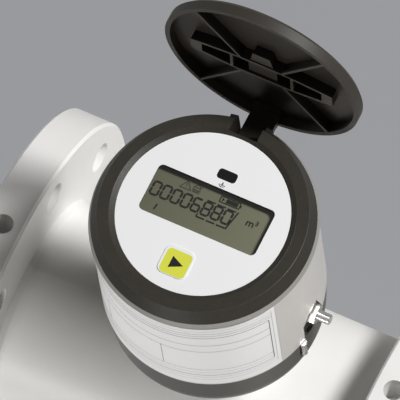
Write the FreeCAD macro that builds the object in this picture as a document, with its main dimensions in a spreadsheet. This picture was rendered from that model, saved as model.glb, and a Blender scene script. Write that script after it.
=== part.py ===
import FreeCAD, Part
import os
import re

import Sketcher

# Electromagnetic flow meter for a full pipe of nominal bore 100, with its
# battery-powered signal converter on top and the converter's lid open.
# Frame: origin on the pipe axis, midway between the flange faces, +X along the
# pipe, +Y towards the hinge of the lid, +Z up.

SIZES = {
    # pipe section
    "tube_length": 260.0,
    "entry_radius": 50.0,
    "throat_radius": 38.0,
    "throat_half": 55.0,
    "entry_half": 92.0,
    "liner_wall": 2.5,
    "tube_wall": 2.5,
    "flare_thickness": 3.0,
    "flare_radius": 79.0,
    "housing_radius": 62.0,
    "housing_wall": 2.5,
    "weld_leg": 3.0,
    # flanges
    "flange_radius": 110.0,
    "flange_thickness": 24.0,
    "flange_chamfer": 1.5,
    "bolt_edge": 20.0,
    "bolt_hole_radius": 9.0,
    "bolt_count": 8,
    "rim_hole_radius": 5.8,
    "rim_hole_depth": 22.0,
    # magnet system and electrodes
    "pole_wall": 2.0,
    "pole_half": 30.0,
    "core_half": 13.0,
    "core_angle": 24.0,
    "coil_half": 32.0,
    "coil_angle": 96.0,
    "coil_gap": 0.5,
    "yoke_wall": 2.2,
    "yoke_half": 36.0,
    "electrode_radius": 3.0,
    "electrode_length": 12.0,
    "electrode_nut_flats": 8.0,
    "electrode_nut_height": 3.0,
    "reference_offset": 47.0,
    # neck
    "head_offset": 13.7,
    "neck_radius": 26.0,
    "neck_wall": 3.0,
    "neck_height": 56.0,
    "neck_flange_radius": 34.0,
    "neck_flange_height": 6.0,
    "cable_hole_radius": 9.0,
    # bowl under the shell
    "base_height": 43.5,
    "base_setback": 0.4,
    "base_taper": 1.7,
    "base_wall": 4.0,
    "base_round": 25.0,
    "spigot_height": 5.0,
    "spigot_gap": 0.3,
    "gasket_height": 1.6,
    # shell
    "shell_height": 82.0,
    "shell_foot_radius": 60.6,
    "shell_top_radius": 60.9,
    "shell_wall": 2.0,
    # side terminal
    "lug_width": 18.0,
    "lug_height": 21.0,
    "lug_depth": 7.0,
    "lug_setback": 0.5,
    "terminal_rise": 14.1,
    "shell_notch_width": 21.5,
    "shell_notch_height": 22.8,
    "shell_notch_top": 9.4,
    "shell_notch_shoulder": 16.0,
    "stud_radius": 3.0,
    "stud_length": 19.5,
    "terminal_nut_flats": 10.0,
    "terminal_nut_height": 4.2,
    "terminal_washer_radius": 6.2,
    "terminal_washer_height": 1.2,
    # screws that hold the shell down
    "screw_angle": 11.8,
    "screw_head_radius": 2.3,
    "screw_head_height": 3.0,
    "screw_groove_radius": 2.7,
    "screw_groove_depth": 16.0,
    "screw_shank_radius": 1.8,
    "screw_sink": 1.0,
    # sticker
    "plate_height": 77.0,
    "plate_angle": 126.0,
    "plate_start": 27.0,
    "plate_thickness": 0.25,
    "plate_margin": 1.8,
    "plate_bond": 0.12,
    # rings over the shell
    "lip_height": 3.15,
    "lip_radius": 62.2,
    "ring_height": 8.75,
    "ring_foot_radius": 60.9,
    "ring_flat_radius": 57.1,
    "ring_bore": 47.4,
    "ring_bevel": 3.0,
    "label_drop": 1.4,
    "skirt_depth": 12.0,
    "skirt_wall": 2.5,
    "ledge_height": 3.35,
    # front with display
    "label_thickness": 0.4,
    "label_gap": 0.15,
    "plate_flange": 3.0,
    "window_width": 69.2,
    "window_height": 28.4,
    "window_x": 0.95,
    "window_y": 3.0,
    "window_corner": 3.0,
    "window_border": 1.6,
    "pane_thickness": 1.0,
    "ir_width": 11.0,
    "ir_height": 6.0,
    "ir_x": 2.3,
    "ir_y": 25.2,
    "ir_corner": 1.8,
    "key_width": 17.0,
    "key_corner": 4.0,
    "key_x": -1.0,
    "key_y": -31.1,
    "key_rise": 0.5,
    "key_height": 3.0,
    "key_gap": 0.3,
    # inside the converter
    "board_radius": 46.0,
    "board_thickness": 1.6,
    "board_drop": 14.0,
    "board_back": 43.0,
    "lcd_width": 71.0,
    "lcd_depth": 30.0,
    "lcd_drop": 5.0,
    "chassis_radius": 48.0,
    "chassis_thickness": 3.0,
    "chassis_rise": 17.5,
    "post_radius": 3.5,
    "post_circle": 40.0,
    "cell_radius": 16.5,
    "cell_length": 61.0,
    "cell_spacing": 40.0,
    "terminal_width": 40.0,
    "terminal_depth": 14.0,
    "terminal_height": 12.0,
    # hinge
    "hinge_back": 51.0,
    "hinge_drop": 19.6,
    "pin_radius": 1.5,
    "pin_clearance": 0.05,
    "pin_head_radius": 2.4,
    "pin_head_height": 1.0,
    "fork_width": 25.2,
    "fork_slot": 16.8,
    "fork_floor": 1.0,
    "fork_below": 6.4,
    "fork_front": 5.5,
    "fork_wall": 1.7,
    "notch_front": 49.0,
    "fork_out_radius": 61.3,
    "cut_gap": 0.4,
    # lid
    "lid_radius": 57.5,
    "lid_depth": 7.5,
    "lid_chamfer": 2.0,
    "lid_dome": 1.2,
    "lid_skin": 2.2,
    "lid_rim": 2.9,
    "lid_rise": 2.1,
    "lid_angle": 94.0,
    "arm_width": 15.8,
    "arm_thickness": 4.5,
    "barrel_radius": 3.4,
    "rib_wall": 1.6,
    "beam_half": 42.0,
    "beam_end": 4.9,
    "beam_middle": 8.4,
    "cross_rib": 17.9,
    "diagonal_in_x": 12.6,
    "diagonal_in_y": 8.2,
    "diagonal_out_x": 37.8,
    "diagonal_out_y": 40.0,
    "pad_width": 14.0,
    "pad_top": 16.8,
    "pad_foot": 7.4,
    "pad_drop": 1.6,
}

doc = FreeCAD.newDocument("flow_meter")
pieces = []


def fill_sheet():
    """Write the driving sizes into the sheet, one alias a row."""
    sheet = doc.addObject("Spreadsheet::Sheet", "Sizes")
    for row, (name, value) in enumerate(SIZES.items(), start=1):
        sheet.set(f"A{row}", name)
        sheet.set(f"B{row}", str(value))
        sheet.setAlias(f"B{row}", name)
    doc.recompute()
    return sheet


def link(text):
    """Turn size names in a formula into references to the sheet."""
    return re.sub(r"[a-z_]+", lambda m: "Sizes." + m.group() if m.group() in SIZES else m.group(), text)


def value(text):
    """Work out a formula of sizes as a number."""
    result = sheet.evalExpression(link(text))
    return float(getattr(result, "Value", result))


# Heights above the pipe axis, from the sleeve upwards
BASE_Z = "(housing_radius + neck_height)"
SHELL_Z = f"({BASE_Z} + base_height)"
LIP_Z = f"({SHELL_Z} + shell_height)"
RING_Z = f"({LIP_Z} + lip_height)"
RING_TOP = f"({RING_Z} + ring_height)"
LABEL_Z = f"({RING_TOP} - label_drop)"
LEDGE_Z = f"({RING_Z} + ledge_height)"
PIN_Z = f"({LABEL_Z} - hinge_drop)"

# Radii that nest in one another
BASE_R = "(shell_foot_radius - base_setback)"
BASE_FOOT_R = f"({BASE_R} - base_taper)"
SPIGOT_R = "(shell_foot_radius - shell_wall - spigot_gap)"
SKIRT_R = "(shell_top_radius - shell_wall - spigot_gap)"
TUBE_END_R = "(entry_radius + liner_wall + tube_wall)"
TUBE_MID_R = "(throat_radius + liner_wall + tube_wall)"
YOKE_R = "(housing_radius - housing_wall - 0.3)"
BODY_HALF = "(tube_length / 2 - flange_thickness)"


class Piece:
    """A body with its own label, built from sketches on its origin planes."""

    def __init__(self, name, compound=False):
        self.body = doc.addObject("PartDesign::Body", name)
        self.body.Label = name
        self.body.AllowCompound = compound
        self.count = 0
        pieces.append(self.body)

    def origin(self, role):
        return [item for item in self.body.Origin.OriginFeatures if item.Role == role][0]

    def new(self, kind, word):
        self.count += 1
        return self.body.newObject(kind, f"{self.body.Name}_{word}_{self.count}")

    def sketch(self, plane, lift=None, along=None, up=None):
        """Open a sketch on a plane, lifted off it or shifted in it."""
        item = self.new("Sketcher::SketchObject", "sketch")
        item.AttachmentSupport = [(self.origin(plane), "")]
        item.MapMode = "FlatFace"
        for axis, text in (("z", lift), ("x", along), ("y", up)):
            if text:
                item.setExpression(f"AttachmentOffset.Base.{axis}", link(text))
        return item

    def feature(self, kind, sketch, **settings):
        item = self.new(f"PartDesign::{kind}", kind.lower())
        item.Profile = sketch
        sketch.Visibility = False
        for key, setting in settings.items():
            if isinstance(setting, str) and key in ("Length", "Angle", "Depth", "Diameter"):
                item.setExpression(key, link(setting))
            else:
                setattr(item, key, setting)
        return item

    def pad(self, sketch, length, **settings):
        return self.feature("Pad", sketch, Length=length, **settings)

    def cut(self, sketch, length=None, **settings):
        """Pocket that must take material away."""
        if length:
            item = self.feature("Pocket", sketch, Length=length, **settings)
        else:
            item = self.feature("Pocket", sketch, Type="ThroughAll", **settings)
        self.removed(item)
        return item

    def removed(self, item):
        doc.recompute()
        before = item.BaseFeature.Shape.Volume
        if not item.Shape.Volume < before - 0.01:
            raise RuntimeError(f"{item.Name} removed nothing")

    def turn(self, sketch, axis, **settings):
        return self.feature("Revolution", sketch, ReferenceAxis=(sketch, [axis]), **settings)

    def groove(self, sketch, axis, **settings):
        item = self.feature("Groove", sketch, ReferenceAxis=(sketch, [axis]), **settings)
        self.removed(item)
        return item

    def around(self, feature, axis, count, angle="360"):
        """Repeat a feature about one of the body's axes."""
        item = self.new("PartDesign::PolarPattern", "pattern")
        item.Originals = [feature]
        item.Axis = (self.origin(axis), [""])
        item.setExpression("Angle", link(angle))
        item.setExpression("Occurrences", link(count))
        self.body.Tip = item
        return item

    def dress(self, kind, size, test, **settings):
        """Fillet or chamfer the edges that pass the test."""
        doc.recompute()
        base = self.body.Tip
        names = [f"Edge{i}" for i, edge in enumerate(base.Shape.Edges, start=1) if test(edge)]
        item = self.new(f"PartDesign::{kind}", kind.lower())
        item.Base = (base, names)
        item.setExpression("Radius" if kind == "Fillet" else "Size", link(size))
        for key, setting in settings.items():
            setattr(item, key, setting)
        return item

    def place(self, x="0", y="0", z="0"):
        for axis, text in (("x", x), ("y", y), ("z", z)):
            self.body.setExpression(f"Placement.Base.{axis}", link(text))
        return self


def outline(sketch, corners):
    """Closed outline through corners (x, y) or (x, y, rise), all formulas of sizes.

    A rise bows the side that starts at the corner outwards by that much, to the right of
    the way the outline runs.
    """
    points = [FreeCAD.Vector(value(c[0]), value(c[1]), 0) for c in corners]
    last = len(corners) - 1
    for i, corner in enumerate(corners):
        start, end = points[i], points[0 if i == last else i + 1]
        if len(corner) == 3:
            side = (end - start).normalize()
            middle = (start + end) * 0.5 + FreeCAD.Vector(side.y, -side.x, 0) * value(corner[2])
            sketch.addGeometry(Part.Arc(start, middle, end))
        else:
            sketch.addGeometry(Part.LineSegment(start, end))
    first = sketch.GeometryCount - len(corners)
    heads = []
    tails = []
    for i, corner in enumerate(corners):
        geometry = sketch.Geometry[first + i]
        forward = (geometry.StartPoint - points[i]).Length < 1e-6
        heads.append((first + i, 1 if forward else 2))
        tails.append((first + i, 2 if forward else 1))
    for i, corner in enumerate(corners):
        follow = 0 if i == last else i + 1
        sketch.addConstraint(Sketcher.Constraint("Coincident", *tails[i], *heads[follow]))
    for i, corner in enumerate(corners):
        for kind, text, number in (("DistanceX", corner[0], points[i].x), ("DistanceY", corner[1], points[i].y)):
            k = sketch.addConstraint(Sketcher.Constraint(kind, *heads[i], number))
            sketch.setExpression(f"Constraints[{k}]", link(text))
        if len(corner) == 3:
            nxt = corners[0 if i == last else i + 1]
            chord = f"((({nxt[0]}) - ({corner[0]}))^2 + (({nxt[1]}) - ({corner[1]}))^2)"
            radius = f"({chord} / 4 + ({corner[2]})^2) / (2 * ({corner[2]}))"
            k = sketch.addConstraint(Sketcher.Constraint("Radius", first + i, value(radius)))
            sketch.setExpression(f"Constraints[{k}]", link(radius))
    return sketch


def circle(sketch, radius, x="0", y="0"):
    """Circle with its centre and radius held by the sheet."""
    centre = FreeCAD.Vector(value(x), value(y), 0)
    k = sketch.addGeometry(Part.Circle(centre, FreeCAD.Vector(0, 0, 1), value(radius)))
    for kind, text, number in (("DistanceX", x, centre.x), ("DistanceY", y, centre.y)):
        c = sketch.addConstraint(Sketcher.Constraint(kind, k, 3, number))
        sketch.setExpression(f"Constraints[{c}]", link(text))
    c = sketch.addConstraint(Sketcher.Constraint("Radius", k, value(radius)))
    sketch.setExpression(f"Constraints[{c}]", link(radius))
    return sketch


def box(sketch, x, y, width, depth):
    """Rectangle about a centre."""
    left, right = f"{x} - ({width}) / 2", f"{x} + ({width}) / 2"
    low, high = f"{y} - ({depth}) / 2", f"{y} + ({depth}) / 2"
    return outline(sketch, [(left, low), (right, low), (right, high), (left, high)])


def rounded(sketch, x, y, width, depth, corner):
    """Rectangle about a centre with round corners."""
    left, right = f"{x} - ({width}) / 2", f"{x} + ({width}) / 2"
    low, high = f"{y} - ({depth}) / 2", f"{y} + ({depth}) / 2"
    bow = f"({corner}) * (1 - sqrt(0.5))"
    return outline(sketch, [
        (f"{left} + ({corner})", low),
        (f"{right} - ({corner})", low, bow),
        (right, f"{low} + ({corner})"),
        (right, f"{high} - ({corner})", bow),
        (f"{right} - ({corner})", high),
        (f"{left} + ({corner})", high, bow),
        (left, f"{high} - ({corner})"),
        (left, f"{low} + ({corner})", bow),
    ])


def hexagon(sketch, flats, x="0", y="0"):
    """Hexagon across flats, with two corners left and right."""
    corner = f"({flats}) / sqrt(3)"
    half = f"({flats}) / 2"
    return outline(sketch, [
        (f"{x} + {corner}", y),
        (f"{x} + {corner} / 2", f"{y} + {half}"),
        (f"{x} - {corner} / 2", f"{y} + {half}"),
        (f"{x} - {corner}", y),
        (f"{x} - {corner} / 2", f"{y} - {half}"),
        (f"{x} + {corner} / 2", f"{y} - {half}"),
    ])


def both_ways(half):
    """Complete a half profile, listed for positive x, with its mirror image."""
    return half + [(f"-({x})", r) for x, r in reversed(half)]


def make_liner():
    piece = Piece("liner")
    end = "tube_length / 2"
    half = [("throat_half", "throat_radius"), ("entry_half", "entry_radius"), (end, "entry_radius"),
            (end, "entry_radius + liner_wall"), ("entry_half", "entry_radius + liner_wall"),
            ("throat_half", "throat_radius + liner_wall")]
    piece.turn(outline(piece.sketch("XZ_Plane"), both_ways(half)), "H_Axis")
    electrode_holes(piece)


def make_liner_face(name, side):
    """Sealing face of the lining, bonded on the outside of a flange."""
    piece = Piece(name)
    piece.turn(outline(piece.sketch("XZ_Plane"), [
        ("0", "entry_radius"), ("flare_thickness", "entry_radius"), ("flare_thickness", "flare_radius - 1"),
        ("flare_thickness - 1", "flare_radius"), ("0", "flare_radius")]), "H_Axis")
    if side < 0:
        piece.body.Placement.Rotation = FreeCAD.Rotation(FreeCAD.Vector(0, 0, 1), 180)
    piece.place(x=f"{side} * tube_length / 2")


def electrode_holes(piece):
    """Cross holes for the measuring electrodes and the low one for the third."""
    piece.cut(circle(piece.sketch("XZ_Plane"), "electrode_radius"), SideType="Symmetric")
    piece.cut(circle(piece.sketch("XY_Plane"), "electrode_radius", "reference_offset"))


def make_tube():
    piece = Piece("measuring_tube")
    end = "tube_length / 2"
    half = [("throat_half", "throat_radius + liner_wall"), ("entry_half", "entry_radius + liner_wall"),
            (end, "entry_radius + liner_wall"), (end, TUBE_END_R),
            ("entry_half", TUBE_END_R), ("throat_half", TUBE_MID_R)]
    piece.turn(outline(piece.sketch("XZ_Plane"), both_ways(half)), "H_Axis")
    electrode_holes(piece)


def make_flange(name, side):
    """Flange with its sealing face at x = 0 and the sleeve on the -X side."""
    piece = Piece(name)
    back = "-flange_thickness"
    piece.turn(outline(piece.sketch("XZ_Plane"), [
        ("0", TUBE_END_R), ("0", "flange_radius - flange_chamfer"), ("-flange_chamfer", "flange_radius"),
        (f"{back} + flange_chamfer", "flange_radius"), (back, "flange_radius - flange_chamfer"),
        (back, TUBE_END_R)]), "H_Axis")
    turn = "180 / bolt_count"
    hole = piece.cut(circle(piece.sketch("YZ_Plane"), "bolt_hole_radius",
                            f"(flange_radius - bolt_edge) * cos({turn})",
                            f"(flange_radius - bolt_edge) * sin({turn})"))
    piece.around(hole, "X_Axis", "bolt_count")
    piece.cut(circle(piece.sketch("XY_Plane", lift="flange_radius"), "rim_hole_radius", "-flange_thickness / 2"),
              "rim_hole_depth")
    if side < 0:
        piece.body.Placement.Rotation = FreeCAD.Rotation(FreeCAD.Vector(0, 0, 1), 180)
    piece.place(x=f"{side} * tube_length / 2")


def make_sleeve():
    piece = Piece("sensor_housing")
    inner = "housing_radius - housing_wall"
    half = [(BODY_HALF, inner), (BODY_HALF, "housing_radius + weld_leg"),
            (f"{BODY_HALF} - weld_leg", "housing_radius")]
    corners = half + [(f"-{x}" if x == BODY_HALF else f"-({x})", r) for x, r in reversed(half)]
    piece.turn(outline(piece.sketch("XZ_Plane"), corners), "H_Axis")
    piece.cut(circle(piece.sketch("XY_Plane"), "cable_hole_radius", "head_offset"), Reversed=True)


def make_poles():
    """Pole shoe against the tube with the core that carries the coil."""
    for name, turn in (("pole_top", 0), ("pole_bottom", 180)):
        piece = Piece(name)
        shoe = piece.sketch("XZ_Plane")
        top = f"{TUBE_MID_R} + pole_wall"
        outline(shoe, [("-pole_half", TUBE_MID_R), ("pole_half", TUBE_MID_R), ("pole_half", top), ("-pole_half", top)])
        piece.turn(shoe, "H_Axis", Angle="coil_angle", Midplane=True)
        core = piece.sketch("XZ_Plane")
        reach = f"{YOKE_R} - yoke_wall"
        outline(core, [("-core_half", TUBE_MID_R), ("core_half", TUBE_MID_R), ("core_half", reach),
                       ("-core_half", reach)])
        piece.turn(core, "H_Axis", Angle="core_angle", Midplane=True)
        piece.body.Placement.Rotation = FreeCAD.Rotation(FreeCAD.Vector(1, 0, 0), turn)


def make_coils():
    """Saddle coil that lies on the pole shoe round its core."""
    for name, turn in (("coil_top", 0), ("coil_bottom", 180)):
        piece = Piece(name)
        low = f"{TUBE_MID_R} + pole_wall"
        high = f"{YOKE_R} - yoke_wall"
        saddle = piece.sketch("XZ_Plane")
        outline(saddle, [("-coil_half", low), ("coil_half", low), ("coil_half", high), ("-coil_half", high)])
        piece.turn(saddle, "H_Axis", Angle="coil_angle", Midplane=True)
        eye = piece.sketch("XZ_Plane")
        reach = "core_half + coil_gap"
        outline(eye, [(f"-({reach})", f"{low} - 1"), (reach, f"{low} - 1"), (reach, f"{high} + 1"),
                      (f"-({reach})", f"{high} + 1")])
        piece.groove(eye, "H_Axis", Angle="core_angle + 2 * coil_gap", Midplane=True)
        piece.body.Placement.Rotation = FreeCAD.Rotation(FreeCAD.Vector(1, 0, 0), turn)


def make_yoke():
    piece = Piece("return_yoke")
    low = f"{YOKE_R} - yoke_wall"
    piece.turn(outline(piece.sketch("XZ_Plane"), [
        ("-yoke_half", low), ("yoke_half", low), ("yoke_half", YOKE_R), ("-yoke_half", YOKE_R)]), "H_Axis")


def make_electrodes():
    """Pins through tube and liner, flush with the bore, and their nuts on the tube."""
    for name, nuts in (("electrodes", False), ("electrode_nuts", True)):
        piece = Piece(name, compound=True)
        if nuts:
            ring = piece.sketch("XZ_Plane", lift=TUBE_MID_R)
            circle(hexagon(ring, "electrode_nut_flats"), "electrode_radius")
            first = piece.pad(ring, "electrode_nut_height")
        else:
            first = piece.pad(circle(piece.sketch("XZ_Plane", lift="throat_radius"), "electrode_radius"),
                              "electrode_length")
        piece.around(first, "Z_Axis", "2")
    piece = Piece("reference_electrode")
    piece.pad(circle(piece.sketch("XY_Plane", lift="-throat_radius"), "electrode_radius", "reference_offset"),
              "electrode_length", Reversed=True)


def make_neck():
    piece = Piece("neck").place(x="head_offset")
    inner = "neck_radius - neck_wall"
    piece.turn(outline(piece.sketch("XZ_Plane"), [
        (inner, "0"), ("neck_radius", "0"), ("neck_radius", f"{BASE_Z} - neck_flange_height"),
        ("neck_flange_radius", f"{BASE_Z} - neck_flange_height"), ("neck_flange_radius", BASE_Z),
        (inner, BASE_Z)]), "V_Axis")
    piece.cut(circle(piece.sketch("YZ_Plane"), "housing_radius"), SideType="Symmetric")


def make_base():
    """Bowl with its spigot for the shell, the terminal lug and the screw grooves."""
    piece = Piece("pot_base").place(x="head_offset", z=BASE_Z)
    inside = f"{SPIGOT_R} - base_wall"
    piece.turn(outline(piece.sketch("XZ_Plane"), [
        ("cable_hole_radius", "0"), (BASE_FOOT_R, "0"), (BASE_R, "base_height"),
        (SPIGOT_R, "base_height"), (SPIGOT_R, "base_height + spigot_height"),
        (inside, "base_height + spigot_height"), (inside, "base_wall"), ("cable_hole_radius", "base_wall")]),
        "V_Axis")
    foot = value(BASE_FOOT_R)
    well = value(inside)
    wall = value("base_wall")

    def at_foot(edge):
        ends = edge.BoundBox
        return abs(ends.ZMax) < 1e-3 and abs(ends.ZMin) < 1e-3 and abs(ends.XMax - foot) < 1e-3

    def in_well(edge):
        ends = edge.BoundBox
        return abs(ends.ZMax - wall) < 1e-3 and abs(ends.ZMin - wall) < 1e-3 and abs(ends.XMax - well) < 1e-3

    piece.dress("Fillet", "base_round", at_foot)
    piece.dress("Fillet", "base_round - base_wall", in_well)
    lug = piece.sketch("YZ_Plane", lift=f"{SPIGOT_R} - lug_depth")
    box(lug, "0", "base_height + lug_height / 2 - spigot_height", "lug_width", "lug_height + 2 * spigot_height")
    piece.pad(lug, "lug_depth - lug_setback")
    piece.cut(circle(piece.sketch("YZ_Plane"), "stud_radius", "0", "base_height + terminal_rise"), Reversed=True)
    for turn in ("-screw_angle", "180 - screw_angle"):
        groove = piece.sketch("XY_Plane", lift="base_height")
        circle(groove, "screw_groove_radius", f"{BASE_R} * cos({turn})", f"{BASE_R} * sin({turn})")
        piece.cut(groove, "screw_groove_depth")


def make_gasket():
    piece = Piece("base_gasket").place(x="head_offset", z=f"{SHELL_Z} + spigot_height - gasket_height")
    ring = circle(circle(piece.sketch("XY_Plane"), f"{SPIGOT_R} + spigot_gap"), SPIGOT_R)
    piece.pad(ring, "gasket_height")
    piece.cut(box(piece.sketch("XY_Plane"), BASE_R, "0", "lug_width", "shell_notch_width"), Reversed=True)


def make_base_screws():
    """Cap screws that stand in the bowl's grooves."""
    piece = Piece("base_screws", compound=True).place(x="head_offset", z=f"{SHELL_Z} - screw_groove_depth")
    across = f"{BASE_R} * cos(-screw_angle)"
    along = f"{BASE_R} * sin(-screw_angle)"
    shank = piece.pad(circle(piece.sketch("XY_Plane"), "screw_shank_radius", across, along),
                      "screw_groove_depth - screw_head_height - screw_sink")
    head = piece.pad(circle(piece.sketch("XY_Plane", lift="screw_groove_depth - screw_head_height - screw_sink"),
                            "screw_head_radius", across, along), "screw_head_height")
    item = piece.around(shank, "Z_Axis", "2")
    item.Originals = [shank, head]


def make_terminal():
    """Stud through the lug with its washer and nut, outside the shell's notch."""
    seat = f"({SPIGOT_R} - lug_setback)"
    height = f"{SHELL_Z} + terminal_rise"
    stud = Piece("earth_stud").place(x=f"head_offset + {SPIGOT_R} - lug_depth", z=height)
    stud.pad(circle(stud.sketch("YZ_Plane"), "stud_radius"), "stud_length")
    stud.dress("Chamfer", "stud_radius / 5", lambda e: e.BoundBox.XMin > value("stud_length") - 1e-3)
    washer = Piece("earth_washer").place(x=f"head_offset + {seat}", z=height)
    washer.pad(circle(circle(washer.sketch("YZ_Plane"), "terminal_washer_radius"), "stud_radius"),
               "terminal_washer_height")
    nut = Piece("earth_nut").place(x=f"head_offset + {seat} + terminal_washer_height", z=height)
    nut.pad(circle(hexagon(nut.sketch("YZ_Plane"), "terminal_nut_flats"), "stud_radius"), "terminal_nut_height")


def hinge_gap(piece, base, down):
    """Cut at the back of a ring or wall for the hinge block."""
    half = "fork_width / 2 + cut_gap"
    low = f"{down} - {base}"
    high = f"{RING_TOP} - {base}"
    piece.cut(outline(piece.sketch("XZ_Plane"), [(f"-({half})", low), (half, low), (half, high),
                                                 (f"-({half})", high)]))


def make_shell():
    piece = Piece("pot_shell").place(x="head_offset", z=SHELL_Z)
    piece.turn(outline(piece.sketch("XZ_Plane"), [
        ("shell_foot_radius - shell_wall", "0"), ("shell_foot_radius", "0"), ("shell_top_radius", "shell_height"),
        ("shell_top_radius - shell_wall", "shell_height")]), "V_Axis")
    hinge_gap(piece, SHELL_Z, f"{PIN_Z} - fork_below - cut_gap")
    notch = piece.sketch("YZ_Plane")
    half = "shell_notch_width / 2"
    top = "shell_notch_top / 2"
    outline(notch, [(f"-{half}", "0"), (half, "0"), (top, "shell_notch_height"), (f"-{top}", "shell_notch_height"),
                    (f"-{half}", "shell_notch_shoulder")])
    piece.cut(notch, Reversed=True)


def make_sticker():
    """Thin plate that follows the shell's slight taper."""
    piece = Piece("nameplate").place(x="head_offset", z=SHELL_Z)
    slope = "(shell_top_radius - shell_foot_radius) / shell_height"
    top = "plate_margin + plate_height"
    low_r = f"shell_foot_radius + plate_bond + {slope} * plate_margin"
    top_r = f"shell_foot_radius + plate_bond + {slope} * ({top})"
    sketch = outline(piece.sketch("XZ_Plane"), [
        (low_r, "plate_margin"), (f"{low_r} + plate_thickness", "plate_margin"),
        (f"{top_r} + plate_thickness", top), (top_r, top)])
    piece.turn(sketch, "V_Axis", Angle="plate_angle", Midplane=True)
    piece.body.Placement.Rotation = FreeCAD.Rotation(FreeCAD.Vector(0, 0, 1), 1)
    piece.body.setExpression("Placement.Rotation.Angle", link("-(plate_start + plate_angle / 2)"))


def make_inside():
    """Chassis, cells, board, terminals and display module inside the head."""
    level = f"({SHELL_Z} + spigot_height + chassis_rise)"
    cells = Piece("battery_cells", compound=True).place(x="head_offset", z=f"{level} - cell_length")
    first = cells.pad(circle(cells.sketch("XY_Plane"), "cell_radius", "cell_spacing / 2"), "cell_length")
    cells.around(first, "Z_Axis", "2")
    chassis = Piece("chassis").place(x="head_offset", z=level)
    chassis.pad(circle(chassis.sketch("XY_Plane"), "chassis_radius"), "chassis_thickness")
    board_z = f"{LABEL_Z} - board_drop"
    post = chassis.pad(circle(chassis.sketch("XY_Plane"), "post_radius", "post_circle * 0.75", "post_circle * 0.66"),
                       f"{board_z} - ({level})")
    chassis.around(post, "Z_Axis", "4")
    board = Piece("main_board").place(x="head_offset", z=board_z)
    board.pad(circle(board.sketch("XY_Plane"), "board_radius"), "board_thickness")
    board.cut(box(board.sketch("XY_Plane"), "0", "board_back + board_radius", "board_radius * 2",
                  "board_radius * 2"), Reversed=True)
    block = Piece("terminal_block").place(x="head_offset", y="-chassis_radius / 2", z=f"{level} + chassis_thickness")
    block.pad(box(block.sketch("XY_Plane"), "0", "0", "terminal_width", "terminal_depth"), "terminal_height")
    lcd = Piece("lcd_module").place(x="head_offset", z=f"{board_z} + board_thickness")
    lcd.pad(box(lcd.sketch("XY_Plane"), "window_x", "window_y", "lcd_width", "lcd_depth"),
            "board_drop - board_thickness - lcd_drop")


def make_front():
    """Front plate under the ring with its openings, and what sits in them."""
    piece = Piece("front_plate").place(x="head_offset", z=LEDGE_Z)
    rise = f"{LABEL_Z} - label_thickness - {LEDGE_Z}"
    out = f"{SKIRT_R} - skirt_wall - spigot_gap"
    bore = "ring_bore - label_gap"
    piece.turn(outline(piece.sketch("XZ_Plane"), [
        ("0", "-plate_flange"), (out, "-plate_flange"), (out, "0"), (bore, "0"), (bore, rise), ("0", rise)]), "V_Axis")
    fit = "2 * (window_border + spigot_gap)"
    window = piece.sketch("XY_Plane", lift=rise)
    rounded(window, "window_x", "window_y", f"window_width + {fit}", f"window_height + {fit}", "window_corner")
    piece.cut(window)
    ir = piece.sketch("XY_Plane", lift=rise)
    piece.cut(rounded(ir, "ir_x", "ir_y", "ir_width", "ir_height", "ir_corner"), f"{rise} + 1")
    key = piece.sketch("XY_Plane", lift=rise)
    piece.cut(rounded(key, "key_x", "key_y", "key_width + 2 * key_gap", "key_width + 2 * key_gap", "key_corner"),
              "key_height + 1")
    back = piece.sketch("XY_Plane")
    box(back, "0", "hinge_back", "fork_width + 2 * cut_gap", "2 * (fork_front + cut_gap)")
    piece.cut(back, "plate_flange + 1")
    pane = Piece("display_window").place(x="head_offset", z=f"{LABEL_Z} - label_thickness - pane_thickness")
    edge = "2 * window_border"
    pane.pad(rounded(pane.sketch("XY_Plane"), "window_x", "window_y", f"window_width + {edge}",
                     f"window_height + {edge}", "window_corner"), "pane_thickness")
    label = Piece("label_plate").place(x="head_offset", z=f"{LABEL_Z} - label_thickness")
    face = circle(label.sketch("XY_Plane"), bore)
    rounded(face, "window_x", "window_y", "window_width", "window_height", "window_corner")
    rounded(face, "ir_x", "ir_y", "ir_width", "ir_height", "ir_corner")
    rounded(face, "key_x", "key_y", "key_width + 2 * key_gap", "key_width + 2 * key_gap", "key_corner")
    label.pad(face, "label_thickness")
    eye = Piece("ir_window").place(x="head_offset", z=LEDGE_Z)
    eye.pad(rounded(eye.sketch("XY_Plane"), "ir_x", "ir_y", "ir_width", "ir_height", "ir_corner"),
            f"{LABEL_Z} - {LEDGE_Z}")


def make_key():
    piece = Piece("key_pad").place(x="head_offset", z=f"{LABEL_Z} + key_rise - key_height")
    piece.pad(rounded(piece.sketch("XY_Plane"), "key_x", "key_y", "key_width", "key_width", "key_corner"),
              "key_height")
    top = value("key_height")
    piece.dress("Chamfer", "key_rise / 2", lambda e: e.BoundBox.ZMin > top - 1e-3)


def make_lip():
    piece = Piece("lip_ring").place(x="head_offset", z=LIP_Z)
    piece.turn(outline(piece.sketch("XZ_Plane"), [
        (SKIRT_R, "0"), ("lip_radius", "0"), ("ring_foot_radius", "lip_height"), (SKIRT_R, "lip_height")]), "V_Axis")
    hinge_gap(piece, LIP_Z, f"{LIP_Z} - 1")


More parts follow.
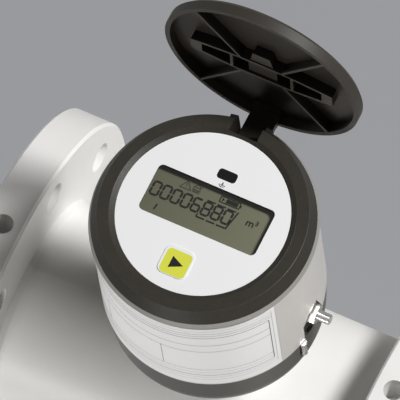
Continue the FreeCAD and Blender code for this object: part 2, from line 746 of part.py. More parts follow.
def make_ring():
    """Bezel ring with the fork that carries the lid's arm."""
    piece = Piece("bezel_ring").place(x="head_offset", z=RING_Z)
    inner = f"{SKIRT_R} - skirt_wall"
    piece.turn(outline(piece.sketch("XZ_Plane"), [
        ("ring_bore", "ring_height - label_drop"), ("ring_bore + ring_bevel", "ring_height"),
        ("ring_flat_radius", "ring_height"), ("ring_foot_radius", "0"), (SKIRT_R, "0"), (SKIRT_R, "-skirt_depth"),
        (inner, "-skirt_depth"), (inner, "ledge_height"), ("ring_bore", "ledge_height")]), "V_Axis")
    pin = f"({PIN_Z} - {RING_Z})"
    front = "hinge_back - fork_front"
    block = piece.sketch("XY_Plane", lift=f"{pin} - fork_below")
    half = "fork_width / 2"
    outline(block, [(f"-{half}", front), (half, front), (half, "fork_out_radius + 3"), (f"-{half}", "fork_out_radius + 3")])
    piece.pad(block, f"fork_below - {pin} + ledge_height")
    trim = piece.sketch("XZ_Plane")
    outline(trim, [("fork_out_radius", f"{pin} - fork_below - 1"), ("fork_out_radius + 10", f"{pin} - fork_below - 1"),
                   ("fork_out_radius + 10", "ring_height"), ("fork_out_radius", "ring_height")])
    piece.groove(trim, "V_Axis")
    slot = "fork_slot / 2"
    low = piece.sketch("XY_Plane", lift=f"{pin} - fork_below + fork_floor")
    outline(low, [(f"-{slot}", f"{front} + fork_wall"), (slot, f"{front} + fork_wall"), (slot, "fork_out_radius + 5"),
                  (f"-{slot}", "fork_out_radius + 5")])
    piece.cut(low, "fork_below - fork_floor + barrel_radius * 2.5", Reversed=True)
    high = piece.sketch("XY_Plane", lift=pin)
    outline(high, [(f"-{slot}", "notch_front"), (slot, "notch_front"), (slot, "fork_out_radius + 5"),
                   (f"-{slot}", "fork_out_radius + 5")])
    piece.cut(high, Reversed=True)
    piece.cut(circle(piece.sketch("YZ_Plane"), "pin_radius", "hinge_back", pin), SideType="Symmetric")


def make_pin():
    piece = Piece("hinge_pin").place(x="head_offset", y="hinge_back", z=PIN_Z)
    reach = "fork_width / 2"
    half = [(reach, "pin_radius"), (reach, "pin_head_radius"), (f"{reach} + pin_head_height", "pin_head_radius"),
            (f"{reach} + pin_head_height", "0")]
    corners = [(f"-({x})", r) for x, r in reversed(half)] + half
    piece.turn(outline(piece.sketch("XZ_Plane"), corners), "H_Axis")


def make_lid():
    """Lid moulding, built closed about the hinge axis and swung open by its placement."""
    piece = Piece("lid").place(x="head_offset", y="hinge_back", z=PIN_Z)
    rise = "(hinge_drop + lid_rise)"
    dish = piece.sketch("YZ_Plane", along="-hinge_back", up=rise)
    ceiling = "lid_depth - lid_skin"
    inner = "lid_radius - lid_rim"
    outline(dish, [
        ("0", f"{ceiling} + lid_dome"), (inner, ceiling), (inner, "0"), ("lid_radius", "0"),
        ("lid_radius", "lid_depth - lid_chamfer"), ("lid_radius - lid_chamfer", "lid_depth"),
        ("0", "lid_depth + lid_dome")])
    piece.turn(dish, "V_Axis")
    lid_ribs(piece, rise)
    lid_arm(piece, rise)
    piece.body.Placement.Rotation = FreeCAD.Rotation(FreeCAD.Vector(1, 0, 0), 1)
    piece.body.setExpression("Placement.Rotation.Angle", link("-lid_angle"))


def lid_ribs(piece, rise):
    """Boat-shaped beam, its cross ribs, the middle plates and the diagonal ribs."""
    depth = "lid_depth - lid_skin + lid_dome / 2"

    def plan():
        return piece.sketch("XY_Plane", lift=rise, up="-hinge_back")

    bow = "beam_middle - beam_end"
    beam = outline(plan(), [
        ("-beam_half", "-beam_end", bow), ("beam_half", "-beam_end"),
        ("beam_half", "beam_end", bow), ("-beam_half", "beam_end")])
    end = "beam_half - rib_wall * 4"
    side = "beam_end - rib_wall + (beam_middle - beam_end) * 0.2"
    mid = "cross_rib - rib_wall / 2"
    flank = "beam_end - rib_wall + (beam_middle - beam_end) * 0.78"
    for sign in ("", "-"):
        outline(beam, [
            (f"{sign}({end})", f"-({side})"), (f"{sign}({end})", side),
            (f"{sign}({mid} + rib_wall)", flank), (f"{sign}({mid} + rib_wall)", f"-({flank})")])
    depth_rib = "beam_middle - rib_wall - 0.3"
    outline(beam, [(f"-({mid})", f"-({depth_rib})"), (mid, f"-({depth_rib})"), (mid, depth_rib),
                   (f"-({mid})", depth_rib)])
    piece.pad(beam, depth)
    centre = piece.sketch("XY_Plane", lift=f"{rise} + pad_drop", up="-hinge_back")
    box(centre, "0", "0", "beam_middle * 2", "beam_middle * 2 - rib_wall")
    piece.pad(centre, f"{depth} - pad_drop")
    upper = piece.sketch("XY_Plane", lift=f"{rise} + pad_drop / 2", up="-hinge_back")
    outline(upper, [("-pad_width / 2", "-pad_foot"), ("-pad_width / 2 + 2", "-pad_top"),
                    ("pad_width / 2 - 2", "-pad_top"), ("pad_width / 2", "-pad_foot")])
    piece.pad(upper, f"{depth} - pad_drop / 2")
    run = "sqrt((diagonal_out_x - diagonal_in_x)^2 + (diagonal_out_y - diagonal_in_y)^2)"
    wide_x = f"rib_wall / 2 * (diagonal_out_y - diagonal_in_y) / {run}"
    wide_y = f"rib_wall / 2 * (diagonal_out_x - diagonal_in_x) / {run}"
    for sx in ("1", "-1"):
        for sy in ("1", "-1"):
            outline_points = [
                (f"{sx} * (diagonal_in_x - {wide_x})", f"{sy} * (diagonal_in_y + {wide_y})"),
                (f"{sx} * (diagonal_in_x + {wide_x})", f"{sy} * (diagonal_in_y - {wide_y})"),
                (f"{sx} * (diagonal_out_x + {wide_x})", f"{sy} * (diagonal_out_y - {wide_y})"),
                (f"{sx} * (diagonal_out_x - {wide_x})", f"{sy} * (diagonal_out_y + {wide_y})")]
            piece.pad(outline(plan(), outline_points), depth)


def lid_arm(piece, rise):
    """Arm from the lid's back edge down to the barrel on the pin."""
    arm = piece.sketch("YZ_Plane")
    back = "lid_radius - hinge_back - 0.5"
    outline(arm, [
        ("0", "0"), ("arm_thickness", "0"), ("arm_thickness", f"{rise} - lid_rise - 1"), (back, rise),
        (back, f"{rise} + lid_depth - lid_chamfer"), ("-arm_thickness", f"{rise} + lid_depth - lid_skin / 2"),
        ("-arm_thickness", f"{rise} + lid_depth / 2"), ("0", rise)])
    piece.pad(arm, "arm_width", SideType="Symmetric")
    piece.pad(circle(piece.sketch("YZ_Plane"), "barrel_radius"), "arm_width", SideType="Symmetric")
    piece.cut(circle(piece.sketch("YZ_Plane"), "pin_radius + pin_clearance"), SideType="Symmetric")


def check(items):
    """Stop if any object failed or any piece has no valid solid."""
    for item in doc.Objects:
        if "Invalid" in item.State or "Error" in item.State:
            raise RuntimeError(f"{item.Name}: {item.State}")
    for item in items:
        if item.Shape.isNull() or not item.Shape.isValid() or not item.Shape.Solids:
            raise RuntimeError(f"{item.Label}: no valid solid")


sheet = fill_sheet()
make_liner()
make_liner_face("liner_face_left", -1)
make_liner_face("liner_face_right", 1)
make_tube()
make_flange("flange_left", -1)
make_flange("flange_right", 1)
make_sleeve()
make_poles()
make_coils()
make_yoke()
make_electrodes()
make_neck()
make_base()
make_gasket()
make_base_screws()
make_terminal()
make_shell()
make_sticker()
make_inside()
make_front()
make_key()
make_lip()
make_ring()
make_pin()
make_lid()
doc.recompute()
check(pieces)
os.makedirs("parts", exist_ok=True)
for item in pieces:
    item.Shape.exportStep(os.path.join("parts", item.Label + ".step"))
    size = item.Shape.BoundBox
    print(f"{item.Label}: {len(item.Shape.Solids)} solid, volume {item.Shape.Volume:.0f}, "
          f"x {size.XMin:.1f}..{size.XMax:.1f} y {size.YMin:.1f}..{size.YMax:.1f} z {size.ZMin:.1f}..{size.ZMax:.1f}")
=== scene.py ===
"""Looks of an electromagnetic flow meter with its converter's lid open.

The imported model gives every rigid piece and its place. This script dresses those pieces, adds
the display's figures and signs, the printed marks and the fine edges of the ring, and sets up
a plain studio with the camera at the photograph's angle.
"""

import logging
import math
from dataclasses import dataclass, field
from enum import Enum
from functools import cached_property
from typing import Callable, Sequence

import bmesh
import bpy
from mathutils import Matrix, Vector


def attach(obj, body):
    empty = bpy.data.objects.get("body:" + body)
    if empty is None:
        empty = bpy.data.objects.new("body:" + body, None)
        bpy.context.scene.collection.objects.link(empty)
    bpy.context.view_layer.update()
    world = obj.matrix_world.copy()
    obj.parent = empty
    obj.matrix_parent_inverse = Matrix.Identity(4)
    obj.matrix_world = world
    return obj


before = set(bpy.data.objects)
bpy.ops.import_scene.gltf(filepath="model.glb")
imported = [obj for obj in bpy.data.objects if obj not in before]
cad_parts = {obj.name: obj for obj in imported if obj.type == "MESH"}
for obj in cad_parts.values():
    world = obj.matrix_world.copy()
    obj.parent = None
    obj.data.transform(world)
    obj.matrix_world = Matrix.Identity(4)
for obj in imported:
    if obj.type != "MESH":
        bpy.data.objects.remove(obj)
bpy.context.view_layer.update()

LOG = logging.getLogger("flow_meter")
MM = 0.001

Number = float | int
Colour = tuple[float, float, float]
Point = tuple[float, float]
Place = tuple[float, float, float]
Shape = bmesh.types.BMesh


def mm(*values: float) -> Vector:
    """Millimetres to a vector in metres."""
    return Vector(values) * MM


class Stroke(Enum):
    """Segments of a seven-segment figure."""

    TOP = "a"
    RIGHT_UP = "b"
    RIGHT_LOW = "c"
    BOTTOM = "d"
    LEFT_LOW = "e"
    LEFT_UP = "f"
    MIDDLE = "g"


FIGURES: dict[str, str] = {"0": "abcdef", "6": "acdefg", "8": "abcdefg"}


class Wire:
    """A shader socket that takes part in arithmetic.

    Numbers go through Math nodes, vectors and colours through Vector Math nodes.
    """

    def __init__(self, graph: "Graph", socket: bpy.types.NodeSocket | None) -> None:
        """Wrap an output socket of a graph, or nothing for a node that ends it."""
        self.graph = graph
        self.socket = socket

    @property
    def is_number(self) -> bool:
        """Whether the socket carries one number."""
        return self.socket.type == "VALUE"

    def _join(self, operation: str, first: "Wire | Number", second: "Wire | Number") -> "Wire":
        """Add the node for an operation on two values.

        Args:
            operation: Name of the Math or Vector Math operation.
            first: Left value.
            second: Right value.

        Returns:
            The node's output.
        """
        settings = {"operation": operation}
        if is_plain(first) and is_plain(second):
            return self.graph.node("ShaderNodeMath", settings, {0: first, 1: second})
        if operation == "MULTIPLY" and (is_plain(first) or is_plain(second)):
            vector, scale = (second, first) if is_plain(first) else (first, second)
            return self.graph.node("ShaderNodeVectorMath", {"operation": "SCALE"},
                                   {0: vector, "Scale": scale})
        return self.graph.node("ShaderNodeVectorMath", settings, {0: first, 1: second})

    def __add__(self, other: "Wire | Number") -> "Wire":
        """Sum."""
        return self._join("ADD", self, other)

    def __radd__(self, other: "Wire | Number") -> "Wire":
        """Reflected sum."""
        return self._join("ADD", other, self)

    def __sub__(self, other: "Wire | Number") -> "Wire":
        """Difference."""
        return self._join("SUBTRACT", self, other)

    def __rsub__(self, other: "Wire | Number") -> "Wire":
        """Reflected difference."""
        return self._join("SUBTRACT", other, self)

    def __mul__(self, other: "Wire | Number") -> "Wire":
        """Product."""
        return self._join("MULTIPLY", self, other)

    def __rmul__(self, other: "Wire | Number") -> "Wire":
        """Reflected product."""
        return self._join("MULTIPLY", other, self)

    def __lt__(self, other: "Wire | Number") -> "Wire":
        """One where this value is the smaller, else zero."""
        return self._join("LESS_THAN", self, other)

    def __gt__(self, other: "Wire | Number") -> "Wire":
        """One where this value is the larger, else zero: the reflected form of smaller."""
        return self._join("GREATER_THAN", self, other)


def is_plain(item: "Wire | Number") -> bool:
    """Whether a value is a number or a wire that carries one."""
    return not isinstance(item, Wire) or item.is_number


def opaque(colour: "Wire | Colour") -> "Wire | tuple[float, ...]":
    """A colour with full alpha, as a socket takes it; a wire stays as it is."""
    return colour if isinstance(colour, Wire) else (*colour, 1.0)


def shade(colour: Colour, by: float) -> Colour:
    """Lighten or darken a colour."""
    return tuple(min(1.0, channel * by) for channel in colour)


class Graph:
    """Node tree of a material or a world and the calls that fill it."""

    def __init__(self, owner: bpy.types.Material | bpy.types.World) -> None:
        """Empty the tree of its owner.

        Args:
            owner: The material or world that the tree belongs to.
        """
        owner.use_nodes = True
        self.owner = owner
        self.tree = owner.node_tree
        self.tree.nodes.clear()

    @classmethod
    def of_material(cls, name: str) -> "Graph":
        """Graph of a new material."""
        return cls(bpy.data.materials.new(name))

    def node(self, kind: str, settings: dict[str, object], inputs: dict[str | int, object],
             output: str | int = 0) -> Wire:
        """Add a node, set it up and join it.

        Args:
            kind: The node's type.
            settings: Attributes of the node.
            inputs: Values or wires by socket name or number.
            output: The output to hand back.

        Returns:
            That output as a wire, without a socket where the node has none.
        """
        item = self.tree.nodes.new(kind)
        for key, setting in settings.items():
            setattr(item, key, setting)
        for key, given in inputs.items():
            if isinstance(given, Wire):
                self.tree.links.new(given.socket, item.inputs[key])
            else:
                item.inputs[key].default_value = given
        return Wire(self, item.outputs[output] if item.outputs else None)

    @cached_property
    def place(self) -> Wire:
        """Object coordinates."""
        return self.node("ShaderNodeTexCoord", {}, {}, "Object")

    def axis(self, name: str) -> Wire:
        """One coordinate of object space, X, Y or Z."""
        return self.node("ShaderNodeSeparateXYZ", {}, {"Vector": self.place}, name)

    def noise(self, scale: float, detail: float = 3.0, stretch: Place = (1.0, 1.0, 1.0)) -> Wire:
        """Noise in object space.

        Args:
            scale: Cells a metre.
            detail: Octaves.
            stretch: Scale of the three axes.

        Returns:
            The noise, from 0 to 1.
        """
        place = self.node("ShaderNodeMapping", {}, {"Vector": self.place, "Scale": stretch})
        return self.node("ShaderNodeTexNoise", {}, {"Vector": place, "Scale": scale, "Detail": detail})

    def mix(self, factor: Wire, low: Wire | Colour, high: Wire | Colour) -> Wire:
        """Blend two colours.

        Args:
            factor: Share of the second colour.
            low: First colour.
            high: Second colour.

        Returns:
            The blended colour.
        """
        factor_socket, low_socket, high_socket, result = 0, 6, 7, 2
        return self.node("ShaderNodeMix", {"data_type": "RGBA"},
                         {factor_socket: factor, low_socket: opaque(low), high_socket: opaque(high)}, result)

    def tint(self, colour: Colour, spread: float, noise: Wire) -> Wire:
        """Colour that a noise darkens and lightens.

        Args:
            colour: The middle colour.
            spread: How far it goes either way, as a share.
            noise: The noise.

        Returns:
            The varying colour.
        """
        return self.mix(noise, shade(colour, 1 - spread), shade(colour, 1 + spread))

    @staticmethod
    def around(middle: float, spread: float, noise: Wire) -> Wire:
        """Number that a noise moves about its middle.

        Args:
            middle: The middle value.
            spread: The whole width of its range.
            noise: The noise.

        Returns:
            The varying number.
        """
        return middle - spread / 2 + spread * noise

    def bump(self, height: Wire, distance: float) -> Wire:
        """Normal from a height and its depth in metres."""
        return self.node("ShaderNodeBump", {}, {"Height": height, "Distance": distance, "Strength": 1.0})

    def seen(self) -> Wire:
        """Tell the rays that see the backdrop's own colour.

        Returns:
            One for camera, glossy and transmission rays, else zero.
        """
        camera, glossy, clear = (self.node("ShaderNodeLightPath", {}, {}, ray) for ray in (
            "Is Camera Ray", "Is Glossy Ray", "Is Transmission Ray"))
        return self.node("ShaderNodeMath", {"operation": "ADD", "use_clamp": True},
                         {0: camera + glossy, 1: clear})

    def finish(self, **inputs: object) -> bpy.types.Material:
        """End the graph in a Principled shader.

        Args:
            **inputs: Values or wires by socket name, spaces as underscores.

        Returns:
            The material.
        """
        values = {key.replace("_", " "): given for key, given in inputs.items()}
        values["Base Color"] = opaque(values["Base Color"])
        return self.end(self.node("ShaderNodeBsdfPrincipled", {}, values))

    def end(self, shader: Wire) -> bpy.types.Material:
        """Join a shader to the material's output."""
        self.node("ShaderNodeOutputMaterial", {}, {"Surface": shader})
        return self.owner


@dataclass(frozen=True)
class Paint:
    """Sprayed coat with orange peel and faint clouding."""

    name: str
    colour: Colour
    roughness: float = 0.38
    roughness_spread: float = 0.12
    clouds: float = 14.0
    clouding: float = 0.04
    peel: float = 700.0
    peel_depth: float = 0.00004
    gloss: float = 0.45

    def make(self) -> bpy.types.Material:
        """Build the material.

        Returns:
            The material.
        """
        graph = Graph.of_material(self.name)
        cloud = graph.noise(self.clouds, 4.0)
        fine = graph.noise(self.peel, 2.0)
        return graph.finish(Base_Color=graph.tint(self.colour, self.clouding, cloud),
                            Roughness=graph.around(self.roughness, self.roughness_spread, cloud),
                            Normal=graph.bump(fine, self.peel_depth), Specular_IOR_Level=self.gloss)


@dataclass(frozen=True)
class Moulded:
    """Moulded plastic, print or film with a fine grain."""

    name: str
    colour: Colour
    roughness: float = 0.5
    roughness_spread: float = 0.16
    grain: float = 1500.0
    depth: float = 0.00003
    gloss: float = 0.35
    clouds: float = 25.0
    mottle: float = 0.12
    mottle_scale: float = 0.6

    def make(self) -> bpy.types.Material:
        """Build the material.

        Returns:
            The material.
        """
        graph = Graph.of_material(self.name)
        fine = graph.noise(self.grain, 2.0)
        speckle = graph.noise(self.grain * self.mottle_scale, 2.0)
        tone = 0.5 * graph.noise(self.clouds) + 0.5 * speckle
        return graph.finish(Base_Color=graph.tint(self.colour, self.mottle, tone),
                            Roughness=graph.around(self.roughness, self.roughness_spread, fine),
                            Normal=graph.bump(fine, self.depth), Specular_IOR_Level=self.gloss)


@dataclass(frozen=True)
class LidMoulding:
    """Lid plastic: grained outside and rim, polished inside, with the inside painted darker as shade and the
    rib tops painted lighter as a highlight.

    The dish inside the lid is told apart by its radius and depth from the lid's centre, and
    the ribs' tops by their depth, all in metres.
    """

    name: str
    outside: Colour = (0.040, 0.035, 0.028)
    # Painted shade: the dish inside the lid is coloured darker than the outside.
    inside: Colour = (0.013, 0.009, 0.006)
    # Painted highlight: the rib tops are coloured lighter than the dish.
    ribs: Colour = (0.046, 0.039, 0.031)
    dust: Colour = (0.030, 0.024, 0.018)
    dust_share: float = 0.35
    centre: Place = (0.0137, 0.0762, 0.2838)
    tilt: float = 4.0
    dish: float = 0.0545
    skin: float = 0.0066
    rib_top: float = 0.0003
    rib_foot: float = 0.0022
    roughness: float = 0.50
    roughness_spread: float = 0.08
    polish: float = 0.14
    grain: float = 900.0
    depth: float = 0.00003
    clouds: float = 30.0
    gloss: float = 0.35

    def make(self) -> bpy.types.Material:
        """Build the material.

        Returns:
            The material.
        """
        graph = Graph.of_material(self.name)
        cos, sin = math.cos(math.radians(self.tilt)), math.sin(math.radians(self.tilt))
        x, y, z = (graph.axis(axis) - middle for axis, middle in zip("XYZ", self.centre))
        along = z * cos + y * sin
        depth = y * cos - z * sin
        within = ((x * x + along * along) < self.dish ** 2) * (depth < self.skin)
        # Painted highlight: the colour grows lighter from the ribs' feet up to their tops.
        painted_rib_highlight = graph.node("ShaderNodeMapRange", {}, {
            "Value": depth, "From Min": self.rib_foot, "From Max": self.rib_top})
        colour = graph.mix(within, self.outside, graph.mix(painted_rib_highlight, self.inside, self.ribs))
        cloud = graph.noise(self.clouds)
        return graph.finish(
            Base_Color=graph.mix(self.dust_share * cloud, colour, self.dust),
            Roughness=graph.around(self.roughness, self.roughness_spread, cloud) - self.polish * within,
            Normal=graph.bump(graph.noise(self.grain, 2.0), self.depth), Specular_IOR_Level=self.gloss)


@dataclass(frozen=True)
class Printed:
    """Membrane key: a coloured square with round corners on the label's white, in metres."""

    name: str
    colour: Colour = (0.74, 0.76, 0.075)
    clouding: float = 0.04
    clouds: float = 60.0
    border: Colour = (0.885, 0.89, 0.895)
    centre: Point = (0.01306, -0.0318)
    half: float = 0.00735
    corner: float = 0.0026
    roughness: float = 0.41
    roughness_spread: float = 0.10
    grain: float = 1500.0
    depth: float = 0.00001
    gloss: float = 0.35

    def make(self) -> bpy.types.Material:
        """Build the material.

        Returns:
            The material.
        """
        graph = Graph.of_material(self.name)
        past = []
        for axis, middle in zip("XY", self.centre):
            reach = graph.node("ShaderNodeMath", {"operation": "ABSOLUTE"}, {0: graph.axis(axis) - middle})
            past.append(graph.node("ShaderNodeMath", {"operation": "MAXIMUM"},
                                   {0: reach - (self.half - self.corner), 1: 0.0}))
        within = (past[0] * past[0] + past[1] * past[1]) < self.corner ** 2
        yellow = graph.tint(self.colour, self.clouding, graph.noise(self.clouds))
        fine = graph.noise(self.grain, 2.0)
        return graph.finish(Base_Color=graph.mix(within, self.border, yellow),
                            Roughness=graph.around(self.roughness, self.roughness_spread, fine),
                            Normal=graph.bump(fine, self.depth), Specular_IOR_Level=self.gloss)


@dataclass(frozen=True)
class Metal:
    """Machined or drawn metal with fine lines along one axis."""

    name: str
    colour: Colour
    roughness: float
    roughness_spread: float = 0.14
    metallic: float = 1.0
    grain: float = 1200.0
    lines: Place = (1.0, 1.0, 1.0)
    depth: float = 0.00001
    clouds: float = 30.0
    dull: float = 0.92
    bright: float = 1.05

    def make(self) -> bpy.types.Material:
        """Build the material.

        Returns:
            The material.
        """
        graph = Graph.of_material(self.name)
        fine = graph.noise(self.grain, stretch=self.lines)
        colour = graph.mix(graph.noise(self.clouds), shade(self.colour, self.dull),
                           shade(self.colour, self.bright))
        return graph.finish(Base_Color=colour, Metallic=self.metallic, Normal=graph.bump(fine, self.depth),
                            Roughness=graph.around(self.roughness, self.roughness_spread, fine))


@dataclass(frozen=True)
class Glass:
    """Clear pane that mostly lets the display through."""

    name: str
    colour: Colour = (0.9, 0.92, 0.9)
    cover: float = 0.012
    cover_spread: float = 0.0048
    roughness: float = 0.065
    roughness_spread: float = 0.05
    clouds: float = 60.0

    def make(self) -> bpy.types.Material:
        """Build the material.

        Returns:
            The material.
        """
        graph = Graph.of_material(self.name)
        cloud = graph.noise(self.clouds)
        return graph.finish(Base_Color=self.colour, Alpha=graph.around(self.cover, self.cover_spread, cloud),
                            Roughness=graph.around(self.roughness, self.roughness_spread, cloud))


@dataclass(frozen=True)
class Liquid:
    """Display glass: olive reflector with painted shading that grows lighter to one side, with a fine weave.
    """

    name: str
    low: Colour = (0.105, 0.105, 0.066)
    high: Colour = (0.170, 0.170, 0.112)
    middle: float = 0.0137
    width: float = 0.070
    weave: float = 900.0
    weave_share: float = 0.10
    weave_shade: float = 1.2
    roughness: float = 0.55
    roughness_spread: float = 0.10
    gloss: float = 0.15

    def make(self) -> bpy.types.Material:
        """Build the material.

        Returns:
            The material.
        """
        graph = Graph.of_material(self.name)
        fine = graph.noise(self.weave, 2.0)
        across = (graph.axis("X") - self.middle) * (1 / self.width) + 0.5
        # Painted shading: the olive grows lighter across the glass towards one side.
        tone = graph.mix(across, self.low, self.high)
        colour = graph.mix(self.weave_share * fine, tone, shade(self.high, self.weave_shade))
        return graph.finish(Base_Color=colour, Specular_IOR_Level=self.gloss,
                            Roughness=graph.around(self.roughness, self.roughness_spread, fine))


Recipe = Paint | Moulded | LidMoulding | Printed | Metal | Glass | Liquid


class Library:
    """All finishes of the meter, made once each."""

    FLAT = 0.000005
    RECIPES: tuple[Recipe, ...] = (
        Paint("coat_white", (0.89, 0.885, 0.87)),
        Metal("shell_metal", (0.70, 0.68, 0.655), roughness=0.42, metallic=0.35, lines=(1.0, 1.0, 0.04)),
        Moulded("ring_plastic", (0.036, 0.032, 0.025), roughness=0.46, grain=1100.0, depth=0.00006,
                gloss=0.22, mottle=0.44),
        Moulded("edge_plastic", (0.042, 0.038, 0.031), roughness=0.40, depth=FLAT, gloss=0.4),
        Moulded("base_plastic", (0.088, 0.082, 0.074), roughness=0.36),
        LidMoulding("lid_plastic"),
        Moulded("lip_plastic", (0.30, 0.29, 0.27), roughness=0.45),
        Moulded("label_foil", (0.90, 0.905, 0.91), roughness=0.42, depth=0.000006, gloss=0.3, mottle=0.016),
        Moulded("plate_foil", (0.87, 0.87, 0.88), roughness=0.35, depth=0.00001, mottle=0.024),
        Printed("key_yellow"),
        Moulded("ink_black", (0.012, 0.011, 0.010), roughness=0.4, depth=FLAT),
        Moulded("print_dark", (0.075, 0.075, 0.080), depth=FLAT),
        Moulded("print_pale", (0.52, 0.52, 0.53), depth=FLAT),
        Moulded("print_grey", (0.10, 0.10, 0.10), depth=FLAT),
        Moulded("segment_ink", (0.008, 0.008, 0.006), roughness=0.6, depth=FLAT, gloss=0.1),
        Moulded("segment_faint", (0.045, 0.045, 0.032), depth=FLAT, gloss=0.2),
        Moulded("eye_black", (0.006, 0.006, 0.005), roughness=0.30, depth=FLAT, gloss=0.3),
        Moulded("inner_plastic", (0.16, 0.16, 0.15)),
        Moulded("well_olive", (0.150, 0.150, 0.088), depth=0.00001),
        Moulded("seal_rubber", (0.015, 0.015, 0.015), roughness=0.7),
        Moulded("liner_rubber", (0.030, 0.030, 0.033), roughness=0.55),
        Moulded("coil_wire", (0.38, 0.14, 0.05), roughness=0.35, grain=2600.0),
        Moulded("cell_sleeve", (0.06, 0.10, 0.20), roughness=0.35),
        Moulded("board_green", (0.012, 0.085, 0.030), roughness=0.4),
        Metal("steel", (0.80, 0.79, 0.75), roughness=0.24),
        Metal("steel_drawn", (0.60, 0.59, 0.57), roughness=0.32, lines=(1.0, 1.0, 0.05)),
        Metal("iron", (0.30, 0.29, 0.28), roughness=0.52),
        Glass("pane_glass"),
        Liquid("display_glass"),
    )

    def __init__(self) -> None:
        """Make every material."""
        self.items = {recipe.name: recipe.make() for recipe in self.RECIPES}

    def __getitem__(self, name: str) -> bpy.types.Material:
        """The material of a name."""
        return self.items[name]

    def dress(self, finish: str, *nodes: str) -> None:
        """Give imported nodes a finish.

        Args:
            finish: The finish's name.
            *nodes: The nodes' names.
        """
        for node in nodes:
            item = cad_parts[node]
            item.data.materials.clear()
            item.data.materials.append(self[finish])
            LOG.info("dressed %s with %s", node, finish)


def piece_from(name: str, build: Callable[[Shape], None], material: bpy.types.Material,
               body: str) -> None:
    """Make a piece from mesh code and let it ride on a body.

    Args:
        name: The piece's name.
        build: Fills the mesh, in metres.
        material: Its finish.
        body: The body it rides on.
    """
    mesh = bpy.data.meshes.new(name)
    shape = bmesh.new()
    build(shape)
    bmesh.ops.recalc_face_normals(shape, faces=shape.faces)
    shape.to_mesh(mesh)
    shape.free()
    mesh.materials.append(material)
    item = bpy.data.objects.new(name, mesh)
    bpy.context.scene.collection.objects.link(item)
    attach(item, body)
    LOG.info("made %s: %d faces", name, len(mesh.polygons))


def band(shape: Shape, one: Sequence[bmesh.types.BMVert], two: Sequence[bmesh.types.BMVert]) -> None:
    """Join two closed loops of corners with a ring of faces.

    Args:
        shape: The mesh.
        one: The first loop.
        two: The second loop, with as many corners.
    """
    for i in range(len(one)):
        k = (i + 1) % len(one)
        shape.faces.new((one[i], one[k], two[k], two[i]))


def slab(shape: Shape, corners: Sequence[Point], low: float, high: float) -> None:
    """Add a thin flat plate to a mesh.

    Args:
        shape: The mesh.
        corners: Its outline in the XY plane, in metres.
        low: Height of the lower face.
        high: Height of the upper face.
    """
    bottom, top = ([shape.verts.new((x, y, z)) for x, y in corners] for z in (low, high))
    shape.faces.new(list(reversed(bottom)))
    shape.faces.new(top)
    band(shape, bottom, top)


def round_square(centre: Point, half: float, corner: float, steps: int = 8) -> list[Point]:
    """Outline of a square with round corners.

    Args:
        centre: Its centre.
        half: Half its side.
        corner: Radius of its corners.
        steps: Parts of each corner.

    Returns:
        The outline, counter-clockwise.
    """
    points = []
    for quarter, (sx, sy) in enumerate(((1, 1), (-1, 1), (-1, -1), (1, -1))):
        for i in range(steps + 1):
            a = math.pi / 2 * (quarter + i / steps)
            points.append((centre[0] + sx * (half - corner) + corner * math.cos(a),
                           centre[1] + sy * (half - corner) + corner * math.sin(a)))
    return points


def stations(span: Point, steps: int) -> list[float]:
    """Evenly spaced values from one end of a span to the other, both ends among them."""
    return [span[0] + (span[1] - span[0]) * i / steps for i in range(steps + 1)]


def bead(shape: Shape, centre: Place, radius: float, wire: float, span: Point, steps: int = 300,
         sides: int = 8) -> None:
    """Add a thin bead that runs along part of a level circle.

    Args:
        shape: The mesh.
        centre: The circle's centre in millimetres.
        radius: The circle's radius.
        wire: The bead's radius.
        span: First and last angle in degrees.
        steps: Parts of the way.
        sides: Corners of the bead's section.
    """
    section = [(wire * math.cos(b), wire * math.sin(b)) for b in (
        2 * math.pi * k / sides for k in range(sides))]
    loops = []
    for a in map(math.radians, stations(span, steps)):
        loops.append([shape.verts.new(mm(
            centre[0] + (radius + out) * math.cos(a),
            centre[1] + (radius + out) * math.sin(a), centre[2] + up)) for out, up in section])
    shape.faces.new(loops[0])
    shape.faces.new(list(reversed(loops[-1])))
    for one, two in zip(loops, loops[1:]):
        band(shape, one, two)


@dataclass
class Pipe:
    """Pipe section: lining, tube, flanges, sleeve and the magnet system."""

    finishes: Library

    def build(self) -> None:
        """Dress the pipe section."""
        dress = self.finishes.dress
        dress("liner_rubber", "liner", "liner_face_left", "liner_face_right")
        dress("steel_drawn", "measuring_tube")
        dress("coat_white", "flange_left", "flange_right", "sensor_housing")
        dress("iron", "pole_top", "pole_bottom", "return_yoke")
        dress("coil_wire", "coil_top", "coil_bottom")
        dress("steel", "electrodes", "electrode_nuts", "reference_electrode")


@dataclass(frozen=True)
class Edge:
    """Fine edge of the bezel ring that stops at the hinge's notch."""

    name: str
    radius: float
    notch: float


